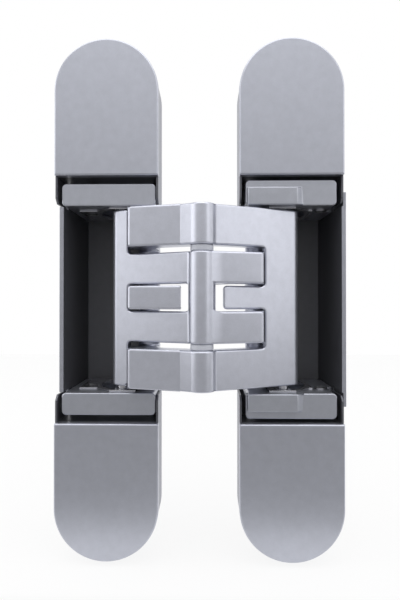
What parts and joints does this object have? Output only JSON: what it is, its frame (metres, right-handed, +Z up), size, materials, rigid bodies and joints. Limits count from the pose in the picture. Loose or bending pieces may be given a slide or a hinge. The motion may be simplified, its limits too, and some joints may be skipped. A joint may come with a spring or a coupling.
{
  "type": "concealed invisible door hinge",
  "caption": "Concealed door hinge, open flat: two mortised leaves with round ended covers, joined by crossed cast arms that fold into deep pockets.",
  "frame": {"origin": "middle of the jamb leaf's four fixing holes, on the back of its end frames", "axes": "+Z up along the leaves, +X across to the door leaf, +Y into the timber"},
  "size_m": [0.0898, 0.0457, 0.16],
  "materials": {
    "cover_satin": "satin grey metallic lacquer",
    "casting_satin": "satin grey metallic lacquer on zinc casting",
    "arm_satin": "satin grey metallic lacquer on zinc casting",
    "channel_dark": "dark pocket with bare satin edges",
    "pin_steel": "ground steel",
    "screw_steel": "zinc plated",
    "washer_polymer": "matt grey acetal"
  },
  "bodies": {
    "jamb_leaf": {"jamb_cover_top": "cover_satin", "jamb_cover_bottom": "cover_satin", "jamb_end_frame_top": "casting_satin", "jamb_end_frame_bottom": "casting_satin", "jamb_channel": "channel_dark", "jamb_pivot_block_top": "casting_satin", "jamb_pivot_block_bottom": "casting_satin", "jamb_clamp_screws": "screw_steel", "jamb_depth_screws": "screw_steel", "jamb_side_eccentrics": "screw_steel", "jamb_tracks": "pin_steel", "jamb_block_screws": "screw_steel", "jamb_pivot_pin": "pin_steel", "jamb_thrust_washers": "washer_polymer"},
    "long_arm": {"long_arm": "arm_satin", "centre_pin": "pin_steel", "knuckle_washers": "washer_polymer", "long_slide_pin": "pin_steel", "long_slide_rollers": "washer_polymer"},
    "short_arm": {"short_arm": "arm_satin", "short_slide_pin": "pin_steel", "short_slide_rollers": "washer_polymer"},
    "door_leaf": {"door_cover_top": "cover_satin", "door_cover_bottom": "cover_satin", "door_end_frame_top": "casting_satin", "door_end_frame_bottom": "casting_satin", "door_channel": "channel_dark", "door_pivot_block_top": "casting_satin", "door_pivot_block_bottom": "casting_satin", "door_clamp_screws": "screw_steel", "door_depth_screws": "screw_steel", "door_side_eccentrics": "screw_steel", "door_tracks": "pin_steel", "door_block_screws": "screw_steel", "door_pivot_pin": "pin_steel", "door_thrust_washers": "washer_polymer"}
  },
  "joints": [
    {"name": "jamb_pivot", "type": "hinge", "parent": "jamb_leaf", "child": "long_arm", "pos_m": [0.01184, -0.001, 0], "axis": [0, 0, -1], "range_deg": [0, 99.04]},
    {"name": "centre_pivot", "type": "hinge", "parent": "long_arm", "child": "short_arm", "pos_m": [0.0294, -0.0191, 0], "axis": [0, 0, 1], "range_deg": [0, 18.09]},
    {"name": "door_pivot", "type": "hinge", "parent": "short_arm", "child": "door_leaf", "pos_m": [0.04696, -0.001, 0], "axis": [0, 0, -1], "range_deg": [0, 99.04]}
  ],
  "couplings": [
    {"joint": "centre_pivot", "follows": "jamb_pivot", "ratio": 0.18264},
    {"joint": "door_pivot", "follows": "jamb_pivot", "ratio": 1}
  ]
}
